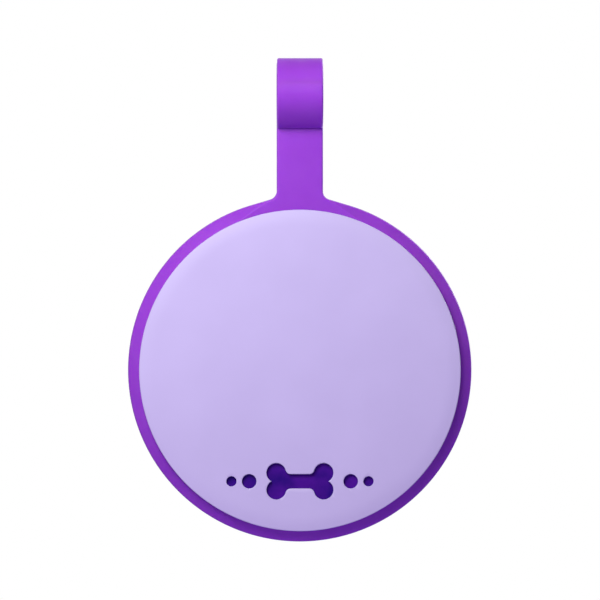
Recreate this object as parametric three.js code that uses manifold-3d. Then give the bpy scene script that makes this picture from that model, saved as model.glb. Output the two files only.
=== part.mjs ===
// Round pet tag: a soft silicone holder with a loop for a collar ring, and a two-ply disc that pops in.
// Millimetres, +Z up. The tag hangs from its loop, whose centre is the origin, and its face looks along -Y.

import * as THREE from 'three';
import { mergeVertices } from 'three/addons/utils/BufferGeometryUtils.js';
import Module from 'manifold-3d';

const wasm = await Module();
wasm.setup();

// Disc: a common round blank of two plies
const discDiameter = 38;
const faceThickness = 0.5; // pale ply over the dark core
const faceSkirtDepth = 0.9; // pale ply at its edge, where it wraps the core
const faceSkirtWidth = 1.4;
const faceDomeWidth = 1.7; // band near its edge where the face falls away gently
const faceDomeDepth = 0.15; // how far the face falls there
const faceEdge = 0.2; // small round between the face and its skirt
const flangeThickness = 1.3; // back flange of the core, under the lip

// Holder: cup, rim and lip
const rimWall = 1.15;
const rimSlope = 1.2; // how far the rim's front slopes back over its wall
const rimEdge = 0.3; // round between the slope and the side
const lipThickness = 0.8;
const lipReach = 0.5; // how far the lip hooks over the flange
const backWall = 1.9;
const backRound = 1;

// Strap between the rim and the loop
const strapLength = 8.2;
const strapWidth = 5.4;
const strapThickness = 2;
const rootFillet = 1.6; // strap to rim, seen from the front
const gussetHeight = 5; // back of the strap thickens towards the rim
const gussetDepth = 1.1;

// Loop: a ring cut into a fixed back half and a springy front half
const loopBore = 6;
const loopWall = 1.2;
const neckFillet = 1.5; // back of the strap to the loop
const slit = 0.2; // between the two halves

// Mark near the disc's lower edge: a bone between round dots
const markRise = 5.9; // its middle, above the disc's lower edge
const boneLength = 5.6; // between the centres of its end lobes
const boneLobeDiameter = 2.3;
const boneLobeSpacing = 2;
const boneBarWidth = 1.7;
const dots = [
  { offset: 6, diameter: 1.7 },
  { offset: 8.1, diameter: 1.2 },
];

// Clearances
const lipClearance = 0.1; // lip to the disc, all round
const seatClearance = 0.15; // disc to the cup's wall and floor
const lipJoint = 0.1; // lip ring to the cup's wall
const glueLine = 0.05; // between the two plies

// Smoothness of round surfaces
const turnSteps = 96;
const arcSteps = 3;
const loopSteps = 12;

// Radii about the disc's axis
const discRadius = discDiameter / 2;
const lipRadius = discRadius - lipReach;
const neckRadius = lipRadius - lipClearance;
const cupRadius = discRadius + seatClearance;
const holderRadius = cupRadius + rimWall;
const plateauRadius = discRadius - faceSkirtWidth - glueLine;

// Depths along +Y, from the rim's front plane at 0 to the back
const skirtBack = -lipClearance;
const faceFront = skirtBack - faceSkirtDepth;
const faceBack = faceFront + faceThickness;
const flangeFront = lipThickness + lipClearance;
const flangeBack = flangeFront + flangeThickness;
const cupFloor = flangeBack + seatClearance;
const holderBack = cupFloor + backWall;

// Heights
const boreRadius = loopBore / 2;
const loopRadius = boreRadius + loopWall;
const discCentre = -(loopRadius + strapLength + holderRadius);
const rimTop = discCentre + holderRadius;
const markDrop = discRadius - markRise;

// Bead on the tongue's tip and the strap's groove for it, in the middle of the loop's wall
const beadHeight = -(boreRadius + loopWall / 2);
const beadRadius = loopWall / 4;

// Room that a cutting or limiting shape has beyond what it cuts
const spare = 1;

const silicone = new THREE.MeshStandardMaterial({ color: 0x9a48d6, roughness: 0.5, metalness: 0 });
const violetPly = new THREE.MeshStandardMaterial({ color: 0x3a0d86, roughness: 0.45, metalness: 0 });
const lavenderPly = new THREE.MeshStandardMaterial({ color: 0xc8b8ee, roughness: 0.45, metalness: 0 });

// A closed geometry as a solid: corners that share a place are merged, and slivers at a pole are dropped.
function solidOf(geometry) {
  const bare = geometry.clone();
  bare.deleteAttribute('normal');
  bare.deleteAttribute('uv');
  const merged = mergeVertices(bare);
  const index = merged.index.array;
  const corners = [];
  for (let i = 0; i < index.length; i += 3) {
    const [a, b, c] = index.slice(i, i + 3);
    if (a !== b && b !== c && c !== a) corners.push(a, b, c);
  }
  return new wasm.Manifold(new wasm.Mesh({
    numProp: 3,
    vertProperties: new Float32Array(merged.attributes.position.array),
    triVerts: new Uint32Array(corners),
  }));
}

// A solid as a named mesh.
function piece(name, solid, material) {
  const { vertProperties, triVerts } = solid.getMesh();
  const geometry = new THREE.BufferGeometry();
  geometry.setAttribute('position', new THREE.BufferAttribute(vertProperties, 3));
  geometry.setIndex(new THREE.BufferAttribute(triVerts, 1));
  geometry.computeVertexNormals();
  const mesh = new THREE.Mesh(geometry, material);
  mesh.name = name;
  return mesh;
}

// A solid turned about the disc's axis. The outline holds radius and depth, and runs from front to back.
function turned(outline) {
  return solidOf(new THREE.LatheGeometry(outline.getPoints(arcSteps), turnSteps));
}

// A solid with a side outline (depth, height), carried across the tag's width.
function across(outline, width) {
  const options = { depth: width, bevelEnabled: false, curveSegments: loopSteps };
  const geometry = new THREE.ExtrudeGeometry(outline, options);
  geometry.translate(0, 0, -width / 2);
  const depthAxis = new THREE.Vector3(0, 1, 0);
  const heightAxis = new THREE.Vector3(0, 0, 1);
  const widthAxis = new THREE.Vector3(1, 0, 0);
  geometry.applyMatrix4(new THREE.Matrix4().makeBasis(depthAxis, heightAxis, widthAxis));
  return solidOf(geometry);
}

// A solid with a front outline (width, height), carried from one depth to another.
function through(outline, front, back) {
  const options = { depth: back - front, bevelEnabled: false, curveSegments: loopSteps };
  const geometry = new THREE.ExtrudeGeometry(outline, options);
  geometry.rotateX(Math.PI / 2);
  geometry.translate(0, back, 0);
  return solidOf(geometry);
}

// Cup and rim before the cup is hollowed: the rim's front slopes back over its wall to a rounded edge.
function cupBlank() {
  const straight = 1 - rimEdge / Math.hypot(rimWall, rimSlope);
  const outline = new THREE.Path();
  outline.moveTo(0, 0);
  outline.lineTo(cupRadius, 0);
  outline.lineTo(cupRadius + straight * rimWall, straight * rimSlope);
  outline.quadraticCurveTo(holderRadius, rimSlope, holderRadius, rimSlope + rimEdge);
  outline.lineTo(holderRadius, holderBack - backRound);
  outline.absarc(holderRadius - backRound, holderBack - backRound, backRound, 0, Math.PI / 2, false);
  outline.lineTo(0, holderBack);
  return turned(outline).translate([0, 0, discCentre]);
}

// Hollow of the cup, open at the front.
function cupHollow() {
  const outline = new THREE.Path();
  outline.moveTo(0, -spare);
  outline.lineTo(cupRadius, -spare);
  outline.lineTo(cupRadius, cupFloor);
  outline.lineTo(0, cupFloor);
  return turned(outline).translate([0, 0, discCentre]);
}

// Side outline of the strap and the loop's fixed back half.
function strapSide() {
  const grooveRadius = beadRadius + slit;
  const grooveAngle = Math.acos(slit / grooveRadius);
  const grooveHalf = grooveRadius * Math.sin(grooveAngle);
  const filletDepth = strapThickness + neckFillet;
  const filletHeight = -Math.sqrt((loopRadius + neckFillet) ** 2 - filletDepth ** 2);
  const filletAngle = Math.atan2(filletHeight, filletDepth);
  const rootHeight = rimTop - rimWall - spare;
  const rootDepth = strapThickness + gussetDepth;

  const outline = new THREE.Shape();
  outline.moveTo(0, rootHeight);
  outline.lineTo(0, beadHeight - grooveHalf);
  outline.absarc(-slit, beadHeight, grooveRadius, -grooveAngle, grooveAngle, false);
  outline.lineTo(0, -boreRadius);
  outline.absarc(0, 0, boreRadius, -Math.PI / 2, Math.PI / 2, false);
  outline.lineTo(0, loopRadius);
  outline.absarc(0, 0, loopRadius, Math.PI / 2, filletAngle, true);
  outline.absarc(filletDepth, filletHeight, neckFillet, filletAngle + Math.PI, Math.PI, false);
  outline.lineTo(strapThickness, rimTop + gussetHeight);
  outline.quadraticCurveTo(strapThickness, rimTop, rootDepth, rimTop);
  outline.lineTo(rootDepth, rootHeight);
  outline.closePath();
  return outline;
}

// Front outline of the strap, which flares into the rim through a fillet on each side.
function strapFront() {
  const halfWidth = strapWidth / 2;
  const centreX = halfWidth + rootFillet;
  const centreZ = discCentre + Math.sqrt((holderRadius + rootFillet) ** 2 - centreX ** 2);
  const rimAngle = Math.atan2(centreZ - discCentre, centreX);
  const top = loopRadius + spare;
  const bottom = rimTop - rimWall - 2 * spare;

  const outline = new THREE.Shape();
  outline.moveTo(-halfWidth, top);
  outline.lineTo(-halfWidth, centreZ);
  outline.absarc(-centreX, centreZ, rootFillet, 0, -rimAngle, true);
  outline.lineTo(-centreX, bottom);
  outline.lineTo(centreX, bottom);
  outline.absarc(centreX, centreZ, rootFillet, rimAngle - Math.PI, -Math.PI, true);
  outline.lineTo(halfWidth, top);
  outline.closePath();
  return outline;
}

// The silicone moulding without its lip and the loop's front half.
function siliconeHolder() {
  const flareWidth = strapWidth + 2 * (rootFillet + spare);
  const side = across(strapSide(), flareWidth);
  const front = through(strapFront(), -spare, loopRadius + spare);
  const strap = side.intersect(front);
  return cupBlank().add(strap).subtract(cupHollow());
}

// Lip: a ring inside the cup's mouth, in front of the disc's flange.
function rimLip() {
  const outerRadius = cupRadius - lipJoint;
  const outline = new THREE.Path();
  outline.moveTo(lipRadius, 0);
  outline.lineTo(outerRadius, 0);
  outline.lineTo(outerRadius, lipThickness);
  outline.lineTo(lipRadius, lipThickness);
  outline.lineTo(lipRadius, 0);
  return turned(outline);
}

// Front half of the loop, with the bead on its tip.
function loopTongue() {
  const outerHeight = Math.sqrt(loopRadius ** 2 - slit ** 2);
  const innerHeight = Math.sqrt(boreRadius ** 2 - slit ** 2);
  const outerAngle = Math.atan2(outerHeight, -slit);
  const innerAngle = Math.atan2(innerHeight, -slit);
  const outline = new THREE.Shape();
  outline.moveTo(-slit, outerHeight);
  outline.absarc(0, 0, loopRadius, outerAngle, -outerAngle, false);
  outline.lineTo(-slit, beadHeight - beadRadius);
  outline.absarc(-slit, beadHeight, beadRadius, -Math.PI / 2, Math.PI / 2, false);
  outline.lineTo(-slit, -innerHeight);
  outline.absarc(0, 0, boreRadius, -innerAngle, innerAngle, true);
  outline.closePath();
  return across(outline, strapWidth);
}

// Core: a plateau under the face, a neck inside the lip and a flange behind it.
function discCore() {
  const outline = new THREE.Path();
  outline.moveTo(0, faceBack + glueLine);
  outline.lineTo(plateauRadius, faceBack + glueLine);
  outline.lineTo(plateauRadius, skirtBack + glueLine);
  outline.lineTo(neckRadius, skirtBack + glueLine);
  outline.lineTo(neckRadius, flangeFront);
  outline.lineTo(discRadius, flangeFront);
  outline.lineTo(discRadius, flangeBack);
  outline.lineTo(0, flangeBack);
  return turned(outline);
}

// A round peg through the face, used to cut a dot or a lobe of the bone.
function markPeg(x, z, diameter) {
  const outline = new THREE.Shape();
  outline.absarc(x, z, diameter / 2, 0, 2 * Math.PI, false);
  return through(outline, faceFront - spare, skirtBack + spare);
}

// The mark as one cutting solid: the bone's bar and lobes, and the dots on both sides.
function markCutter() {
  const halfLength = boneLength / 2;
  const halfSpacing = boneLobeSpacing / 2;
  const bar = new THREE.Shape();
  bar.moveTo(-halfLength, -markDrop - boneBarWidth / 2);
  bar.lineTo(halfLength, -markDrop - boneBarWidth / 2);
  bar.lineTo(halfLength, -markDrop + boneBarWidth / 2);
  bar.lineTo(-halfLength, -markDrop + boneBarWidth / 2);
  bar.closePath();
  let cutter = through(bar, faceFront - spare, skirtBack + spare);
  for (const side of [-1, 1]) {
    for (const level of [-1, 1]) {
      const lobeHeight = -markDrop + level * halfSpacing;
      cutter = cutter.add(markPeg(side * halfLength, lobeHeight, boneLobeDiameter));
    }
    for (const { offset, diameter } of dots) {
      cutter = cutter.add(markPeg(side * offset, -markDrop, diameter));
    }
  }
  return cutter;
}

// Face: a shallow pale cap that falls away gently to a crisp edge, pierced by the mark.
function discFace() {
  const skirtRadius = discRadius - faceSkirtWidth;
  const domeRadius = discRadius - faceEdge;
  const domeDepth = faceFront + faceDomeDepth;
  const domeSteepness = (2 * faceDomeDepth) / faceDomeWidth;
  const edgeDepth = domeDepth + faceEdge * domeSteepness;
  const outline = new THREE.Path();
  outline.moveTo(0, faceFront);
  outline.lineTo(domeRadius - faceDomeWidth, faceFront);
  outline.quadraticCurveTo(domeRadius - faceDomeWidth / 2, faceFront, domeRadius, domeDepth);
  outline.quadraticCurveTo(discRadius, edgeDepth, discRadius, edgeDepth + faceEdge);
  outline.lineTo(discRadius, skirtBack);
  outline.lineTo(skirtRadius, skirtBack);
  outline.lineTo(skirtRadius, faceBack);
  outline.lineTo(0, faceBack);
  return turned(outline).subtract(markCutter());
}

const tag = new THREE.Group();
tag.add(piece('silicone_holder', siliconeHolder(), silicone));
tag.add(piece('loop_tongue', loopTongue(), silicone));

const aboutDiscAxis = new THREE.Group();
aboutDiscAxis.position.z = discCentre;
aboutDiscAxis.add(piece('rim_lip', rimLip(), silicone));
aboutDiscAxis.add(piece('disc_core', discCore(), violetPly));
aboutDiscAxis.add(piece('disc_face', discFace(), lavenderPly));
tag.add(aboutDiscAxis);

export default tag;
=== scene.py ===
"""Looks of a round pet tag: a soft silicone holder with a loop, and a two-ply disc that pops into it.

Sizes are in millimetres until a mesh is made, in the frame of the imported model: +X across the tag, +Y from
its face to its back and +Z up the strap, with the middle of the loop's opening at the origin.
"""

import math

import bmesh
import bpy
import numpy as np
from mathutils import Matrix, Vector


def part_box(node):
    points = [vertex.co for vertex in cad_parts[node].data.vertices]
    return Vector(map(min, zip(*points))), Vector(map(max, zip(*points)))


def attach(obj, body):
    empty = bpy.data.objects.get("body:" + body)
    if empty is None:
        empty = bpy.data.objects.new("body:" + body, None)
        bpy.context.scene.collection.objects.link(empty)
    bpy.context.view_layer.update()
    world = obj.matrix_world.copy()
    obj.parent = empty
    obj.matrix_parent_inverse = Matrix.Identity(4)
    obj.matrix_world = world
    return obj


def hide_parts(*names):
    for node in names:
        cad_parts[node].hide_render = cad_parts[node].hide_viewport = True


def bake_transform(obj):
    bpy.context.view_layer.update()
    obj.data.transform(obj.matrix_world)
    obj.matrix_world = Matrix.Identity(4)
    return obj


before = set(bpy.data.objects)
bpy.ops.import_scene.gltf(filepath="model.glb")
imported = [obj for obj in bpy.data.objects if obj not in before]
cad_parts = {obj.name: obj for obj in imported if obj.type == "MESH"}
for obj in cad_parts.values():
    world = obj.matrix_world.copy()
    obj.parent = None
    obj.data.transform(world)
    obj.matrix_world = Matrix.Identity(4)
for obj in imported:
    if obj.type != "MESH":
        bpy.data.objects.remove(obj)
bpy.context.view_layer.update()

MM = 0.001
MERGE = 0.002  # points of a mesh that are closer than this are joined
SHARP = 40.0  # degrees between two faces above which their edge is shaded sharp


def span(node):
    """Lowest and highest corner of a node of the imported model, in millimetres."""
    return [np.array(corner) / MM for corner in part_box(node)]


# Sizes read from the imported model
holder_low, holder_high = span("silicone_holder")
core_low, core_high = span("disc_core")
face_low, face_high = span("disc_face")

HOLDER_RADIUS = holder_high[0]
HOLDER_BACK = holder_high[1]
HOLDER_BOTTOM = holder_low[2]
LOOP_RADIUS = holder_high[2]
LIP_BACK = span("rim_lip")[1][1]
STRAP_HALF = span("loop_tongue")[1][0]
FLANGE_RADIUS = core_high[0]
FLANGE_BACK = core_high[1]
PLATEAU_FRONT = core_low[1]
FACE_RADIUS = face_high[0]
FACE_FRONT = face_low[1]
SKIRT_BACK = face_high[1]
DISC_Z = (face_low[2] + face_high[2]) / 2

# Silicone holder
LIP_RADIUS = 18.5
LIP_EDGE = 0.15  # round on both edges of the lip
CUP_RADIUS = 19.15
CUP_FLOOR = 2.35  # depth of the cup's floor
CUP_FILLET = 0.3
RIM_UNDER = 0.05  # how far under the face's edge the rim's sloped front begins
RIM_BAND = HOLDER_RADIUS - FACE_RADIUS + RIM_UNDER
RIM_LEAN = 37.0  # degrees that the slope leans back
RIM_BREAK = 0.3  # round from the flat front to the slope
RIM_EDGE = 0.35  # round from the slope to the side
BACK_ROUND = 1.0  # round from the side to the back
ROOT_LEAVE = 5.8  # half width at which the outline leaves the rim's circle, straight towards the strap
ROOT_FILLET = 1.1
ROOT_FADE = (-2.5, 2.6)  # the rim's slope dies out between these distances past that place
STRAP_THICKNESS = 2.0
STRAP_EDGE = 0.22
STRAP_JOIN = -7.0  # height where the strap's skin goes over into the loop's strip
RAMP_INSET = 2.0  # how far inside the rim the back begins to fall to the strap's thickness
RAMP_LENGTH = 5.0
RAMP_FLARE = 5.5  # half width at which the ramp has died out behind the rim
RIDGE_HEIGHT = 0.04  # mould parting line round the sides
RIDGE_WIDTH = 0.06  # as a share of the side's depth
GATE_RADIUS = 0.7  # dimple where the silicone was injected
GATE_SLOPE = 0.5
GATE_DEPTH = 0.14
GATE_STEP = 0.2  # between rows of points over the dimple
RIM_STEPS = 150  # stations round half of the rim
EDGE_STEPS = 18  # points across a front edge
# Where points lie down a side, closer at the parting line, and in over the back, closer at the dimple
SIDE_SHARES = np.array([0.12, 0.25, 0.38, 0.44, 0.47, 0.5, 0.53, 0.56, 0.62, 0.75, 0.88])
BACK_SHARES = np.concatenate([np.linspace(0, 0.88, 13)[1:], np.linspace(0.9, 1, 9)])

# Loop
BORE_RADIUS = 3.0
WALL_HALF = (LOOP_RADIUS - BORE_RADIUS) / 2
NECK_FILLET = 1.5  # between the strap's back and the loop
BORE_EDGE = 0.1
GROOVE_RADIUS = 0.34
BEAD_RADIUS = 0.3
BEAD_START = 0.2  # inset from the tip's edge at which the bead begins
BEAD_BLEND = 0.2  # and over which it rises
CROWN_START = 20.0  # headings where the crown begins, behind the loop, and ends, in front of it
CROWN_END = 160.0
TIP_HEADING = 267.3
TIP_ROUND = 0.12
TIP_INSETS = np.array([
    0.015, 0.04, 0.08, TIP_ROUND, BEAD_START, 0.28, 0.33, 0.38, 0.43, 0.48, 0.53, 0.57, WALL_HALF,
])  # rows that close the tip
FLAT_HEADING = 230.0  # middle of the flatter stretch on the lower front
FLAT_HALF = 54.0  # degrees over which it dies out to either side
FLAT_DEPTH = 0.4
SEAM_STEP = 0.1  # degrees in the tiny first and last step of a stretch of the loop
BACK_STEPS = 36  # stations along the loop's back, its crown and its tip
CROWN_STEPS = 100
TIP_STEPS = 70

# Disc
FACE_THICKNESS = 0.5
FACE_CROWN = 0.1  # the face bulges by this much in its middle
FACE_DOME_WIDTH = 1.7  # band near its edge where the face falls away gently
FACE_DOME_DEPTH = 0.13
FACE_EDGE = 0.12
SKIRT_WIDTH = 1.4
SKIRT_EDGE = 0.1
NECK_RADIUS = 18.4
PLATEAU_RADIUS = 17.55
FLANGE_FRONT = 0.9
CORE_EDGE = 0.15
FACE_STEPS = 240  # steps in one turn of the face and of the core
CORE_STEPS = 192

# Mark cut through the face
MARK_RISE = 5.9  # height of its middle above the face's lowest point
MARK_Z = DISC_Z - FACE_RADIUS + MARK_RISE
BONE_HALF = 2.8  # from its middle to the middle of an end lobe
LOBE_RADIUS = 1.15
LOBE_RISE = 1.0
BAR_HALF = 0.85
BONE_FILLET = 0.6
DOTS = [(6.0, 0.85), (8.1, 0.6)]  # distance from the middle, radius
CUT_EDGE = 0.09  # rounded edge of the cut
CUT_REACH = 1.0  # how far the cutter reaches past the face's surface, both ways


def smooth(t):
    """S-shaped rise from 0 to 1 as t goes from 0 to 1."""
    t = np.clip(t, 0, 1)
    return t * t * (3 - 2 * t)


def arc(centre, radius, start, stop, steps):
    """Points at a radius about a centre, from one heading to another, in degrees."""
    heading = np.radians(np.linspace(start, stop, steps))
    return np.array(centre) + radius * np.stack([np.cos(heading), np.sin(heading)], axis=1)


def distances(path):
    """Distance along a path at each of its points."""
    steps = np.linalg.norm(np.diff(path, axis=0), axis=1)
    return np.concatenate([[0], np.cumsum(steps)])


def follow(path, share):
    """Points at shares of a path's length, found by straight interpolation between its points."""
    length = distances(path)
    return np.stack([np.interp(share * length[-1], length, path[:, i]) for i in range(2)], axis=1)


def grid_faces(index):
    """Four-cornered faces between the neighbouring points of a grid, from the grid of their numbers."""
    corners = [index[:-1, :-1], index[:-1, 1:], index[1:, 1:], index[1:, :-1]]
    return np.stack(corners, axis=-1).reshape(-1, 4)


def join_points(mesh):
    """Joins the points of a mesh that share a place, and turns its faces outwards.

    Faces that this folds away, at a pole or along a line, are dropped.
    """
    shape = bmesh.new()
    shape.from_mesh(mesh)
    bmesh.ops.remove_doubles(shape, verts=shape.verts, dist=MERGE * MM)
    bmesh.ops.dissolve_degenerate(shape, edges=shape.edges, dist=MERGE * MM / 10)
    bmesh.ops.recalc_face_normals(shape, faces=shape.faces)
    shape.to_mesh(mesh)
    shape.free()


def shown(name, mesh):
    """A mesh as an object in the scene, shaded smooth but for its sharp edges."""
    mesh.shade_smooth()
    mesh.set_sharp_from_angle(angle=math.radians(SHARP))
    piece = bpy.data.objects.new(name, mesh)
    bpy.context.scene.collection.objects.link(piece)
    return piece


def closed_mesh(name, grids):
    """A smooth closed object from grids of points in millimetres, which meet along their edges.

    Each grid holds rows by columns of points.
    """
    points, faces, first = [], [], 0
    for grid in grids:
        index = first + np.arange(grid[..., 0].size).reshape(grid.shape[:2])
        points.append(grid.reshape(-1, 3))
        faces.append(grid_faces(index))
        first += index.size
    mesh = bpy.data.meshes.new(name)
    mesh.from_pydata((np.concatenate(points) * MM).tolist(), [], np.concatenate(faces).tolist())
    join_points(mesh)
    return shown(name, mesh)


def both_sides(grid):
    """A grid of the tag's right half, and its mirror image on the left."""
    return [grid, grid * np.array([-1, 1, 1])]


# Silicone holder and loop


def round_edge(radius):
    """Inset and depth of a quarter-round edge, from the flat in front to the side."""
    turn = np.radians(np.linspace(0, 90, EDGE_STEPS))
    return radius * (1 - np.sin(turn)), radius * (1 - np.cos(turn))


def rim_edge():
    """Inset and depth of the rim's front: a round off the flat, a straight slope and a round onto the side.

    The slope is as long as the two rounds leave room for in the band's width.
    """
    lean = math.radians(RIM_LEAN)
    first = np.linspace(0, lean, EDGE_STEPS // 2)
    last = np.linspace(lean, math.pi / 2, EDGE_STEPS - len(first))
    run = RIM_BAND - RIM_BREAK * math.sin(lean) - RIM_EDGE * (1 - math.sin(lean))
    fall = run * math.tan(lean) + RIM_BREAK * (1 - math.cos(lean))
    width = np.concatenate([
        RIM_BREAK * np.sin(first),
        RIM_BREAK * math.sin(lean) + run + RIM_EDGE * (np.sin(last) - math.sin(lean)),
    ])
    depth = np.concatenate([
        RIM_BREAK * (1 - np.cos(first)),
        fall + RIM_EDGE * (math.cos(lean) - np.cos(last)),
    ])
    return RIM_BAND - width, depth


def section(front_edge, back_round, front_reach, back_reach):
    """Half cross-section of the silicone, from its middle over the front edge, the side and the back edge.

    Inputs hold one row for each station along the silicone, and the front edge is an inset and a depth.
    Each column of the result has an inset from the outer edge, and a depth that is written as a length plus
    a share of the thickness there. The back edge is a quarter circle. The side has a parting ridge at half
    its depth, with the height of a bell curve.
    """
    front_inset, front_depth = front_edge
    flat = np.linspace(1, 0, 8)[:-1]
    quarter = np.radians(np.linspace(0, 90, 9))
    ridge = RIDGE_HEIGHT * np.exp(-(((SIDE_SHARES - 0.5) / RIDGE_WIDTH) ** 2))
    back = back_round[:, None]
    inset = [
        front_inset[:, :1] + (front_reach[:, None] - front_inset[:, :1]) * flat,
        front_inset,
        0 * back - ridge,
        back * (1 - np.cos(quarter)),
        back + (back_reach[:, None] - back) * BACK_SHARES,
    ]
    length = [
        0 * back * flat,
        front_depth,
        front_depth[:, -1:] * (1 - SIDE_SHARES) - back * SIDE_SHARES,
        -back * (1 - np.sin(quarter)),
        0 * back * BACK_SHARES,
    ]
    behind = np.ones(len(quarter) + len(BACK_SHARES))
    share = np.concatenate([np.zeros(len(flat) + EDGE_STEPS), SIDE_SHARES, behind])
    return np.concatenate(inset, axis=1), np.concatenate(length, axis=1), share


def back_depth(x, z):
    """Depth of the back, which is flat behind the disc and falls in a smooth ramp to the strap's thickness.

    The ramp follows the distance from the disc's axis, and dies out to both sides of the strap. The dimple
    is a flat round that rises to the back in an S-shaped slope.
    """
    distance = np.hypot(x, z - DISC_Z)
    beside = smooth((RAMP_FLARE - np.abs(x)) / (RAMP_FLARE - STRAP_HALF))
    ramp = smooth((distance - HOLDER_RADIUS + RAMP_INSET) / RAMP_LENGTH) * beside * (z > DISC_Z)
    gate = GATE_DEPTH * (1 - smooth((distance - GATE_RADIUS) / GATE_SLOPE))
    return HOLDER_BACK - (HOLDER_BACK - STRAP_THICKNESS) * ramp - gate


def holder_skin():
    """Front, sides and back of the holder's right half, and the inside of its cup.

    Stations run along the rim's circle from the bottom, straight on from it towards the strap, round the
    root fillet, whose circle touches that line and the strap, and up the strap's edge. From each one the
    skin goes straight in over the front to the lip's edge, or to the strap's middle line above it, and over
    the back to the disc's axis or the middle line. The first stations past the rim lie so that their rows
    end close above the axis, on the dimple. The cup's inside is its profile of radius and depth, turned
    about the disc's axis.
    """
    lip_edge = LIP_RADIUS + LIP_EDGE
    disc_axis = np.array([0, DISC_Z])
    leave = math.degrees(math.acos(ROOT_LEAVE / HOLDER_RADIUS))
    outward = arc([0, 0], 1, leave, leave, 1)[0]
    onward = np.array([-outward[1], outward[0]])
    root = disc_axis + HOLDER_RADIUS * outward
    run = (ROOT_LEAVE - STRAP_HALF - ROOT_FILLET * (1 - outward[0])) / outward[1]
    fillet_centre = root + run * onward + ROOT_FILLET * outward
    corner = 180 + math.degrees(math.atan2(fillet_centre[1] - DISC_Z - lip_edge, fillet_centre[0]))

    over_gate = np.arange(GATE_STEP, GATE_RADIUS + GATE_SLOPE + GATE_STEP, GATE_STEP) * outward[0]
    ahead = np.concatenate([over_gate, np.linspace(over_gate[-1], run, 9)[1:]])
    to_corner = np.linspace(leave + 180, corner, 10)[1:]
    turn = np.concatenate([to_corner, np.linspace(corner, 180, 10)[1:]])
    from_fillet = np.stack([np.cos(np.radians(turn)), np.sin(np.radians(turn))], axis=1)

    rim = arc(disc_axis, HOLDER_RADIUS, -90, leave, RIM_STEPS)
    straight = root + ahead[:, None] * onward
    up_strap = np.linspace([STRAP_HALF, fillet_centre[1]], [STRAP_HALF, STRAP_JOIN], 16)[1:]
    outline = np.concatenate([rim, straight, fillet_centre + ROOT_FILLET * from_fillet, up_strap])
    inward = np.concatenate([
        (disc_axis - rim) / HOLDER_RADIUS,
        np.tile(-outward, (len(straight), 1)),
        from_fillet,
        np.tile([-1.0, 0.0], (len(up_strap), 1)),
    ])

    on_lip = len(rim) + len(straight) + len(to_corner)
    from_axis = outline - disc_axis
    along = np.sum(from_axis * inward, axis=1)
    to_lip = -along - np.sqrt(np.maximum(along**2 - np.sum(from_axis**2, axis=1) + lip_edge**2, 0))
    to_middle = np.full(len(outline), HOLDER_RADIUS)
    to_middle[len(rim):] = -outline[len(rim):, 0] / inward[len(rim):, 0]
    front_reach = np.where(np.arange(len(outline)) < on_lip, to_lip, to_middle)

    past_root = np.concatenate([
        np.radians(np.linspace(-90 - leave, 0, len(rim))) * HOLDER_RADIUS,
        ahead,
        run + np.radians(leave + 180 - turn) * ROOT_FILLET,
        np.full(len(up_strap), ROOT_FADE[1]),
    ])
    strapped = smooth((past_root - ROOT_FADE[0]) / (ROOT_FADE[1] - ROOT_FADE[0]))
    front_edge = [
        wide + (thin - wide) * strapped[:, None] for wide, thin in zip(rim_edge(), round_edge(STRAP_EDGE))
    ]
    back_round = BACK_ROUND + (STRAP_EDGE - BACK_ROUND) * strapped
    inset, length, share = section(front_edge, back_round, front_reach, to_middle)
    x, z = np.moveaxis(outline[:, None] + inset[..., None] * inward[:, None], -1, 0)
    skin = np.stack([x, length + share * back_depth(x, z), z], axis=-1)

    cup = np.concatenate([
        arc([lip_edge, LIP_EDGE], LIP_EDGE, -90, -180, 5),
        arc([lip_edge, LIP_BACK - LIP_EDGE], LIP_EDGE, 180, 90, 5),
        [[CUP_RADIUS, LIP_BACK]],
        np.linspace([CUP_RADIUS, LIP_BACK], [CUP_RADIUS, CUP_FLOOR - CUP_FILLET], 5)[1:-1],
        arc([CUP_RADIUS - CUP_FILLET, CUP_FLOOR - CUP_FILLET], CUP_FILLET, 0, 90, 6),
        np.linspace([CUP_RADIUS - CUP_FILLET, CUP_FLOOR], [0, CUP_FLOOR], 16)[1:],
    ])
    lip_points = outline[:on_lip] + front_reach[:on_lip, None] * inward[:on_lip]
    heading = (lip_points - disc_axis) / lip_edge
    turned_cup = np.stack([
        heading[:, :1] * cup[:, 0],
        np.broadcast_to(cup[:, 1], (on_lip, len(cup))),
        DISC_Z + heading[:, 1:] * cup[:, 0],
    ], axis=-1)
    return [skin, turned_cup]


def strip(front_line, back_line):
    """Right half of a strip of silicone whose cross-section is carried along two lines of depth and height.

    At each station the section spans from the front line to the back line, and keeps the strap's width.
    """
    across = back_line - front_line
    thickness = np.linalg.norm(across, axis=1)[:, None]
    stations = len(front_line)
    front_edge = [np.tile(column, (stations, 1)) for column in round_edge(STRAP_EDGE)]
    half = np.full(stations, STRAP_HALF)
    inset, length, share = section(front_edge, np.full(stations, STRAP_EDGE), half, half)
    depth = length + share * thickness
    y, z = np.moveaxis(front_line[:, None] + (across / thickness)[:, None] * depth[..., None], -1, 0)
    return np.stack([STRAP_HALF - inset, y, z], axis=-1)


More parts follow.
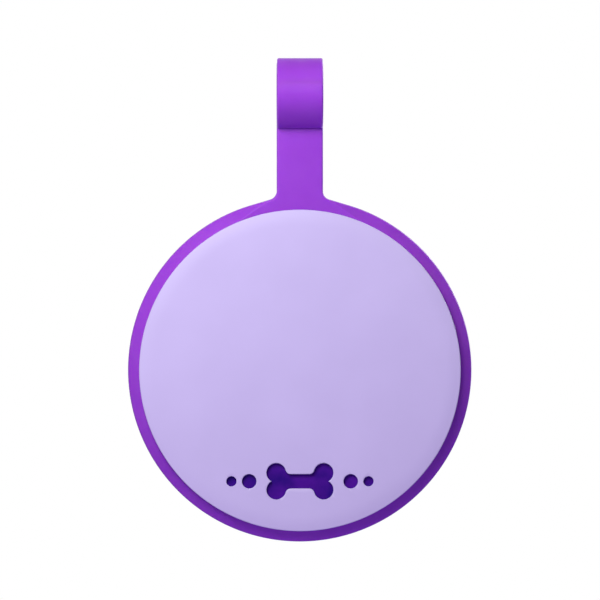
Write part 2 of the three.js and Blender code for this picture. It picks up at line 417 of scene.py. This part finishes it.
def end_cap(rim, inset, advance):
    """Rows that close the end of a strip: its last section, drawn in towards its middle line.

    A row is the section scaled about the middle line by what an inset leaves of its half thickness and half
    width, and moved on by an advance that may differ from point to point. The last row lies on the middle
    line, with its points spread evenly out and back, so that its front and its back meet point by point.
    """
    front, back = rim[0], rim[-1]
    middle = (front + back) / 2
    half = np.linalg.norm(back - front) / 2
    forward = np.cross([1, 0, 0], (back - front) / (2 * half))
    wide = rim * np.array([1, 0, 0])
    high = rim - wide - middle
    left = inset[:, None, None]
    rows = middle + wide * (1 - left / STRAP_HALF) + high * (1 - left / half)
    rows[-1, :, 0] = (STRAP_HALF - half) * (1 - np.abs(np.linspace(-1, 1, len(rim))))
    return rows + np.broadcast_to(advance, rows.shape[:2])[..., None] * forward


def flat_end(rim):
    """The one row that closes a strip flat, on the middle line of its last section."""
    return end_cap(rim, np.array([WALL_HALF]), 0)


def drawn_in(heading):
    """How far the loop's wall is drawn in at a heading, by one wave of a cosine about its lower front."""
    return FLAT_DEPTH / 2 * (1 + np.cos(np.pi * np.clip((heading - FLAT_HEADING) / FLAT_HALF, -1, 1)))


def loop_ring(start, stop, steps):
    """Inner and outer line of the loop's wall between two headings, where 90 degrees is its crown.

    Both are circles, drawn in where the lower front is flatter. The first and the last step are tiny, which
    carries the smooth shading on across a seam.
    """
    heading = np.concatenate([[start], np.linspace(start + SEAM_STEP, stop - SEAM_STEP, steps), [stop]])
    ring = np.stack([np.cos(np.radians(heading)), np.sin(np.radians(heading))], axis=1)
    drawn = drawn_in(heading)[:, None]
    return (BORE_RADIUS - drawn) * ring, (LOOP_RADIUS - drawn) * ring


def holder_strip():
    """Right half of the strap's top and the loop's fixed back, up to the seam behind the crown.

    The front line runs up the strap, through the groove for the tip's bead, round the edge of the bore and
    along the bore. The back line runs up the strap, through the neck fillet and round the loop.
    """
    fillet_y = STRAP_THICKNESS + NECK_FILLET
    fillet_z = -math.sqrt((LOOP_RADIUS + NECK_FILLET) ** 2 - fillet_y**2)
    neck = math.degrees(math.atan2(fillet_z, fillet_y))
    groove_z = drawn_in(TIP_HEADING) - (BORE_RADIUS + LOOP_RADIUS) / 2
    neck_front = np.concatenate([
        np.linspace([0, fillet_z], [0, groove_z - GROOVE_RADIUS], 4)[:-1],
        arc([0, groove_z], GROOVE_RADIUS, -90, 90, 13),
        arc([BORE_EDGE, -BORE_RADIUS - BORE_EDGE], BORE_EDGE, 180, 90, 6),
        arc([0, 0], BORE_RADIUS, -85, neck, 16),
    ])
    length = distances(neck_front)
    neck_back = follow(arc([fillet_y, fillet_z], NECK_FILLET, 180, 180 + neck, 24), length / length[-1])
    bore, ring = loop_ring(neck, CROWN_START, BACK_STEPS)
    strap_front = np.linspace([0, STRAP_JOIN], [0, fillet_z], 8)[:-1]
    strap_back = strap_front + np.array([STRAP_THICKNESS, 0])
    front_line = np.concatenate([strap_front, neck_front, bore[1:]])
    back_line = np.concatenate([strap_back, neck_back, ring[1:]])
    rows = strip(front_line, back_line)
    return np.concatenate([rows, flat_end(rows[-1])])


def silicone_holder():
    """The moulded holder: cup, rim, lip, strap and the loop's fixed back, as one closed surface."""
    grids = [side for grid in [*holder_skin(), holder_strip()] for side in both_sides(grid)]
    return closed_mesh("holder", grids)


def loop_crown():
    """The loop's crown, where the real loop bends, from behind its top to its front, as an arch with flat
    ends.
    """
    rows = strip(*loop_ring(CROWN_START, CROWN_END, CROWN_STEPS))
    skin = np.concatenate([flat_end(rows[0]), rows, flat_end(rows[-1])])
    return closed_mesh("loop_crown", both_sides(skin))


def loop_tip():
    """The front of the loop below its crown, down to the tip with its bead.

    The tip is closed by rows drawn in towards its middle line: a rounded edge, a flat and then the bead,
    whose height is that of a circle over the distance from the middle line.
    """
    rows = strip(*loop_ring(CROWN_END, TIP_HEADING, TIP_STEPS))
    inset = TIP_INSETS[:, None]
    offset = np.linalg.norm((rows[-1] - (rows[-1][0] + rows[-1][-1]) / 2)[:, 1:], axis=1)
    drawn = offset * (1 - inset / WALL_HALF)
    rise = smooth((inset - BEAD_START) / BEAD_BLEND)
    bead = np.sqrt(np.maximum(BEAD_RADIUS**2 - drawn**2, 0)) * rise
    rounded = np.sqrt(TIP_ROUND**2 - (TIP_ROUND - np.minimum(inset, TIP_ROUND)) ** 2)
    tip = end_cap(rows[-1], TIP_INSETS, rounded + bead)
    return closed_mesh("loop_tip", both_sides(np.concatenate([flat_end(rows[0]), rows, tip])))


# Disc


def turned(name, profile, steps):
    """A closed surface made by turning a profile of radius and depth about the disc's axis.

    The steps lie half a step off the middle plane, where the mark's outline has corners of its own.
    """
    heading = np.radians((np.arange(steps + 1) + 0.5) * 360 / steps)[:, None]
    radius, depth = profile[:, 0], profile[:, 1]
    x = radius * np.cos(heading)
    z = DISC_Z + radius * np.sin(heading)
    return closed_mesh(name, [np.stack([x, np.broadcast_to(depth, x.shape), z], axis=-1)])


def bone_outline():
    """Outline of the bone about its own middle: half its bar, a fillet and a lobe, mirrored four ways."""
    fillet_z = BAR_HALF + BONE_FILLET
    reach = LOBE_RADIUS + BONE_FILLET
    fillet_x = BONE_HALF - math.sqrt(reach**2 - (fillet_z - LOBE_RISE) ** 2)
    tilt = math.degrees(math.asin((fillet_z - LOBE_RISE) / reach))
    notch = -math.degrees(math.asin(LOBE_RISE / LOBE_RADIUS))
    quarter = np.concatenate([
        [[0, BAR_HALF]],
        arc([fillet_x, fillet_z], BONE_FILLET, -90, -tilt, 8),
        arc([BONE_HALF, LOBE_RISE], LOBE_RADIUS, 180 - tilt, notch, 32)[1:],
    ])
    back = quarter[::-1]
    return np.concatenate([quarter, back[1:] * [1, -1], quarter[1:] * [-1, -1], back[1:-1] * [-1, 1]])


def mark_cutter():
    """Prisms that cut the mark through the face, each an outline carried from in front of it to behind it.

    The outline is widened along its normals by what a quarter circle leaves near the face's surface, which
    rounds the edge of the cut.
    """
    dots = [arc([side * x, 0], radius, 360, 0, 49)[:-1] for x, radius in DOTS for side in (-1, 1)]
    surface = FACE_FRONT + FACE_CROWN * ((DISC_Z - MARK_Z) / FACE_RADIUS) ** 2
    quarter = np.radians(np.linspace(0, 90, 6))
    widen = np.concatenate([[CUT_EDGE], CUT_EDGE * (1 - np.sin(quarter)), [0]])
    depth = surface + np.concatenate([[-CUT_REACH], CUT_EDGE * (1 - np.cos(quarter)), [CUT_REACH]])
    points, faces, first = [], [], 0
    for outline in [bone_outline(), *dots]:
        ahead = np.roll(outline, -1, axis=0) - np.roll(outline, 1, axis=0)
        normal = np.stack([-ahead[:, 1], ahead[:, 0]], axis=1) / np.linalg.norm(ahead, axis=1)[:, None]
        ring = outline + widen[:, None, None] * normal
        y = np.broadcast_to(depth[:, None], ring.shape[:2])
        points.append(np.stack([ring[..., 0], y, MARK_Z + ring[..., 1]], axis=-1).reshape(-1, 3))
        index = first + np.arange(ring[..., 0].size).reshape(ring.shape[:2])
        walls = grid_faces(np.concatenate([index, index[:, :1]], axis=1))
        faces += walls.tolist() + [index[0].tolist(), index[-1][::-1].tolist()]
        first += index.size
    mesh = bpy.data.meshes.new("mark_cutter")
    mesh.from_pydata((np.concatenate(points) * MM).tolist(), [], faces)
    join_points(mesh)
    return shown("mark_cutter", mesh)


def cut(name, blank, cutter):
    """The blank with the cutter's shape taken out, as a new piece. Both of its sources are removed."""
    taken = blank.modifiers.new("cut", "BOOLEAN")
    taken.operation = "DIFFERENCE"
    taken.solver = "EXACT"
    taken.object = cutter
    evaluated = blank.evaluated_get(bpy.context.evaluated_depsgraph_get())
    mesh = bpy.data.meshes.new_from_object(evaluated)
    mesh.name = name
    join_points(mesh)
    bpy.data.objects.remove(blank)
    bpy.data.objects.remove(cutter)
    return shown(name, mesh)


def disc_face():
    """The pale ply: a slightly crowned cap with a gentle dome to a crisp edge, and the mark cut through it.

    The crown falls with the square of the distance from the axis, and the dome with that from its start.
    """
    dome = FACE_RADIUS - FACE_EDGE - FACE_DOME_WIDTH
    radius = np.concatenate([np.linspace(0, dome, 26)[:-1], np.linspace(dome, FACE_RADIUS - FACE_EDGE, 12)])
    past_dome = np.maximum(radius - dome, 0) / FACE_DOME_WIDTH
    front = FACE_FRONT + FACE_CROWN * (radius / FACE_RADIUS) ** 2 + FACE_DOME_DEPTH * past_dome**2
    steep = math.degrees(math.atan(2 * FACE_DOME_DEPTH / FACE_DOME_WIDTH))
    back = FACE_FRONT + FACE_THICKNESS
    inside = FACE_RADIUS - SKIRT_WIDTH
    profile = np.concatenate([
        np.stack([radius, front], axis=1),
        arc([FACE_RADIUS - FACE_EDGE, front[-1] + FACE_EDGE], FACE_EDGE, steep - 90, 0, 8),
        arc([FACE_RADIUS - SKIRT_EDGE, SKIRT_BACK - SKIRT_EDGE], SKIRT_EDGE, 0, 90, 5),
        [[inside, SKIRT_BACK], [inside, back], [inside / 2, back], [0, back]],
    ])
    return cut("face", turned("face_blank", profile, FACE_STEPS), mark_cutter())


def disc_core():
    """The dark ply: a plateau under the face, a neck inside the lip and a round-edged flange behind it."""
    shoulder = SKIRT_BACK + PLATEAU_FRONT - FACE_FRONT - FACE_THICKNESS
    profile = np.concatenate([
        np.linspace([0, PLATEAU_FRONT], [PLATEAU_RADIUS, PLATEAU_FRONT], 12),
        [[PLATEAU_RADIUS, shoulder], [NECK_RADIUS, shoulder], [NECK_RADIUS, FLANGE_FRONT]],
        arc([FLANGE_RADIUS - CORE_EDGE, FLANGE_FRONT + CORE_EDGE], CORE_EDGE, -90, 0, 6),
        arc([FLANGE_RADIUS - CORE_EDGE, FLANGE_BACK - CORE_EDGE], CORE_EDGE, 0, 90, 6),
        np.linspace([FLANGE_RADIUS - CORE_EDGE, FLANGE_BACK], [0, FLANGE_BACK], 12)[1:],
    ])
    return turned("core", profile, CORE_STEPS)


# Materials

CLOUD_LOW = 0.3  # range of the noise over which the pigment goes from its dark to its pale colour
CLOUD_HIGH = 0.7


def linear(colour):
    """An sRGB hex colour as linear red, green and blue, with full alpha."""
    channels = np.array([int(colour[i:i + 2], 16) for i in (1, 3, 5)]) / 255
    curve = np.where(channels <= 0.04045, channels / 12.92, ((channels + 0.055) / 1.055) ** 2.4)
    return (*curve.tolist(), 1.0)


def add(tree, kind, inputs=None, **settings):
    """One node with its settings, and with each named input linked to a socket or set to a value."""
    made = tree.nodes.new(kind)
    for name, value in settings.items():
        setattr(made, name, value)
    for name, value in (inputs or {}).items():
        if isinstance(value, bpy.types.NodeSocket):
            tree.links.new(value, made.inputs[name])
        else:
            made.inputs[name].default_value = value
    return made


def per(size):
    """Texture scale at which one cell of a pattern has a size in millimetres."""
    return 1 / (size * MM)


def moulded(name, dark, pale, mottle_size, grain_size, grain_height, roughness, shader):
    """A moulded, pigmented material: cloudy pigment between two colours, and a fine eroded grain.

    Roughness goes from the first to the second of two values with the pigment's clouds. The grain is the
    mould's own texture, a bump of a height in millimetres. Real grain of about 0.05 mm is too fine to show,
    so it is drawn coarser.
    """
    material = bpy.data.materials.new(name)
    material.use_nodes = True
    tree = material.node_tree
    tree.nodes.clear()
    place = add(tree, "ShaderNodeTexCoord").outputs["Object"]
    clouds = add(tree, "ShaderNodeTexNoise", {"Vector": place, "Scale": per(mottle_size), "Detail": 3})
    pigment = add(tree, "ShaderNodeValToRGB", {"Fac": clouds.outputs["Fac"]})
    stops = pigment.color_ramp.elements
    stops[0].position = CLOUD_LOW
    stops[0].color = linear(dark)
    stops[1].position = CLOUD_HIGH
    stops[1].color = linear(pale)
    polish = add(tree, "ShaderNodeMapRange", {
        "Value": clouds.outputs["Fac"], "From Min": CLOUD_LOW, "From Max": CLOUD_HIGH,
        "To Min": roughness[0], "To Max": roughness[1],
    })
    grain = add(tree, "ShaderNodeTexNoise", {"Vector": place, "Scale": per(grain_size), "Detail": 2})
    bump = add(tree, "ShaderNodeBump", {
        "Height": grain.outputs["Fac"], "Distance": grain_height * MM, "Strength": 1.0,
    })
    surface = add(tree, "ShaderNodeBsdfPrincipled", {
        "Base Color": pigment.outputs["Color"], "Roughness": polish.outputs["Result"],
        "Normal": bump.outputs["Normal"], **shader,
    })
    add(tree, "ShaderNodeOutputMaterial", {"Surface": surface.outputs["BSDF"]})
    return material


def silicone_rubber():
    """Liquid silicone rubber from a spark-eroded mould: soft satin, even pigment, faintly see-through."""
    return moulded(
        "moulded_silicone_rubber", "#8F3CC4", "#9542CA",
        mottle_size=6, grain_size=0.3, grain_height=0.004, roughness=(0.38, 0.46),
        shader={
            "IOR": 1.41, "Specular IOR Level": 0.15,
            "Subsurface Weight": 0.3, "Subsurface Radius": (1.0, 0.2, 2.0), "Subsurface Scale": MM,
        },
    )


def lavender_plastic():
    """ABS moulded against a finely blasted steel: an even, pale satin."""
    return moulded(
        "satin_lavender_abs", "#BFB2E0", "#C3B6E4",
        mottle_size=9, grain_size=0.25, grain_height=0.002, roughness=(0.42, 0.5),
        shader={"IOR": 1.53, "Specular IOR Level": 0.3},
    )


def indigo_plastic():
    """ABS of two pigments that were not fully mixed: indigo with violet clouds."""
    return moulded(
        "marbled_indigo_abs", "#22016F", "#4A0C8C",
        mottle_size=2.6, grain_size=0.2, grain_height=0.002, roughness=(0.4, 0.5),
        shader={"IOR": 1.53, "Specular IOR Level": 0.08},
    )


# Studio

PIXELS = 600
PIXELS_PER_MM = 8.468
VIEW_RISE = 8.34  # height of the picture's middle above the disc's
VIEW_AZIMUTH = -0.5  # degrees that the photograph is taken from the left and from above
VIEW_ELEVATION = 1.2
LENS = 600.0
SENSOR = 36.0
FLOOR_DROP = 60.0  # the tag hangs this far above the floor
FLOOR_SIZE = 1600.0
FLOOR_PAPER = "#CCB2F0"  # pale lilac
FLOOR_WHITE = 0.55  # share of plain white that is seen in the floor below the tag, out to the near radius
FLOOR_NEAR = 60.0
FLOOR_FAR = 260.0  # radius at which the floor has faded to plain white
AMBIENT = 0.09  # the surround's light on the object, as a share of white
WHITE = (1, 1, 1, 1)


def seen_rays(tree):
    """1 for a ray from the camera, a reflection or a refraction, and 0 for a ray that lights a surface."""
    path = add(tree, "ShaderNodeLightPath").outputs
    two = {0: path["Is Camera Ray"], 1: path["Is Glossy Ray"]}
    either = add(tree, "ShaderNodeMath", two, operation="MAXIMUM").outputs["Value"]
    three = {0: either, 1: path["Is Transmission Ray"]}
    return add(tree, "ShaderNodeMath", three, operation="MAXIMUM").outputs["Value"]


def white_world():
    """A white surround to look at, which lights the object evenly at a lower level."""
    world = bpy.data.worlds.new("studio")
    bpy.context.scene.world = world
    world.use_nodes = True
    tree = world.node_tree
    tree.nodes.clear()
    light = add(tree, "ShaderNodeBackground", {"Color": WHITE, "Strength": AMBIENT})
    white = add(tree, "ShaderNodeBackground", {"Color": WHITE, "Strength": 1.0})
    mixed = add(tree, "ShaderNodeMixShader", {
        0: seen_rays(tree), 1: light.outputs["Background"], 2: white.outputs["Background"],
    })
    add(tree, "ShaderNodeOutputWorld", {"Surface": mixed.outputs["Shader"]})


def pale_floor():
    """A flat floor of pale lilac paper, which keeps the tag's shadow and fades to white further out."""
    sides = np.array([[-1, -1], [1, -1], [1, 1], [-1, 1]]) * FLOOR_SIZE / 2
    corners = np.column_stack([sides, np.full(len(sides), HOLDER_BOTTOM - FLOOR_DROP)])
    mesh = bpy.data.meshes.new("floor")
    mesh.from_pydata((corners * MM).tolist(), [], [[0, 1, 2, 3]])
    floor = shown("floor", mesh)
    material = bpy.data.materials.new("pale_paper_floor")
    material.use_nodes = True
    tree = material.node_tree
    tree.nodes.clear()
    place = add(tree, "ShaderNodeTexCoord").outputs["Object"]
    flat = add(tree, "ShaderNodeVectorMath", {0: place, 1: (1, 1, 0)}, operation="MULTIPLY")
    distance = add(tree, "ShaderNodeVectorMath", {0: flat.outputs["Vector"]}, operation="LENGTH")
    fade = add(tree, "ShaderNodeMapRange", {
        "Value": distance.outputs["Value"], "From Min": FLOOR_NEAR * MM, "From Max": FLOOR_FAR * MM,
        "To Min": FLOOR_WHITE, "To Max": 1.0,
    })
    factors = {0: fade.outputs["Result"], 1: seen_rays(tree)}
    seen = add(tree, "ShaderNodeMath", factors, operation="MULTIPLY")
    paper = add(tree, "ShaderNodeBsdfDiffuse", {"Color": linear(FLOOR_PAPER)})
    white = add(tree, "ShaderNodeEmission", {"Color": WHITE, "Strength": 1.0})
    mixed = add(tree, "ShaderNodeMixShader", {
        0: seen.outputs["Value"], 1: paper.outputs["BSDF"], 2: white.outputs["Emission"],
    })
    add(tree, "ShaderNodeOutputMaterial", {"Surface": mixed.outputs["Shader"]})
    mesh.materials.append(material)


def direction(azimuth, elevation):
    """Unit vector from the tag towards an azimuth and an elevation, in degrees.

    Azimuth 0 is in front of the tag and grows to its right, and elevation is above the horizon.
    """
    a, e = math.radians(azimuth), math.radians(elevation)
    return np.array([math.sin(a) * math.cos(e), -math.cos(a) * math.cos(e), math.sin(e)])


def softbox(name, azimuth, elevation, distance, size, level):
    """A round lamp that looks at the disc.

    Level is what it adds to a white surface that faces it squarely.
    """
    back = direction(azimuth, elevation)
    lamp = bpy.data.lights.new(name, "AREA")
    lamp.shape = "DISK"
    lamp.size = size * MM
    lamp.energy = level * (math.pi * distance * MM) ** 2
    box = bpy.data.objects.new(name, lamp)
    box.location = (back * distance + np.array([0, 0, DISC_Z])) * MM
    box.rotation_mode = "QUATERNION"
    box.rotation_quaternion = Vector(back).to_track_quat("Z", "Y")
    box.visible_camera = False
    bpy.context.scene.collection.objects.link(box)


def photo_camera():
    """A long lens almost square to the face, at which the face has the photograph's scale."""
    camera = bpy.data.cameras.new("camera")
    camera.sensor_width = SENSOR
    camera.lens = LENS
    field = PIXELS / PIXELS_PER_MM
    eye = bpy.data.objects.new("camera", camera)
    middle = np.array([0, FACE_FRONT, DISC_Z + VIEW_RISE])
    eye.location = (middle + direction(VIEW_AZIMUTH, VIEW_ELEVATION) * field * LENS / SENSOR) * MM
    eye.rotation_euler = (math.radians(90 - VIEW_ELEVATION), 0, math.radians(VIEW_AZIMUTH))
    bpy.context.scene.collection.objects.link(eye)
    bpy.context.scene.camera = eye


# The tag

silicone = silicone_rubber()
holder = silicone_holder()
holder.data.materials.append(silicone)
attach(holder, "holder")
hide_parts("silicone_holder", "rim_lip")

crown = loop_crown()
crown.data.materials.append(silicone)
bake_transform(crown)
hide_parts("loop_tongue")

tip = loop_tip()
tip.data.materials.append(silicone)
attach(tip, "tongue")
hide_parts("loop_tongue")

face = disc_face()
face.data.materials.append(lavender_plastic())
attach(face, "disc")
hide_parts("disc_face")

core = disc_core()
core.data.materials.append(indigo_plastic())
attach(core, "disc")
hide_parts("disc_core")

white_world()
pale_floor()
softbox("key", azimuth=-22, elevation=34, distance=150, size=90, level=1.14)
softbox("back", azimuth=136, elevation=24, distance=300, size=200, level=0.9)
photo_camera()
bpy.context.scene.view_settings.view_transform = "Standard"
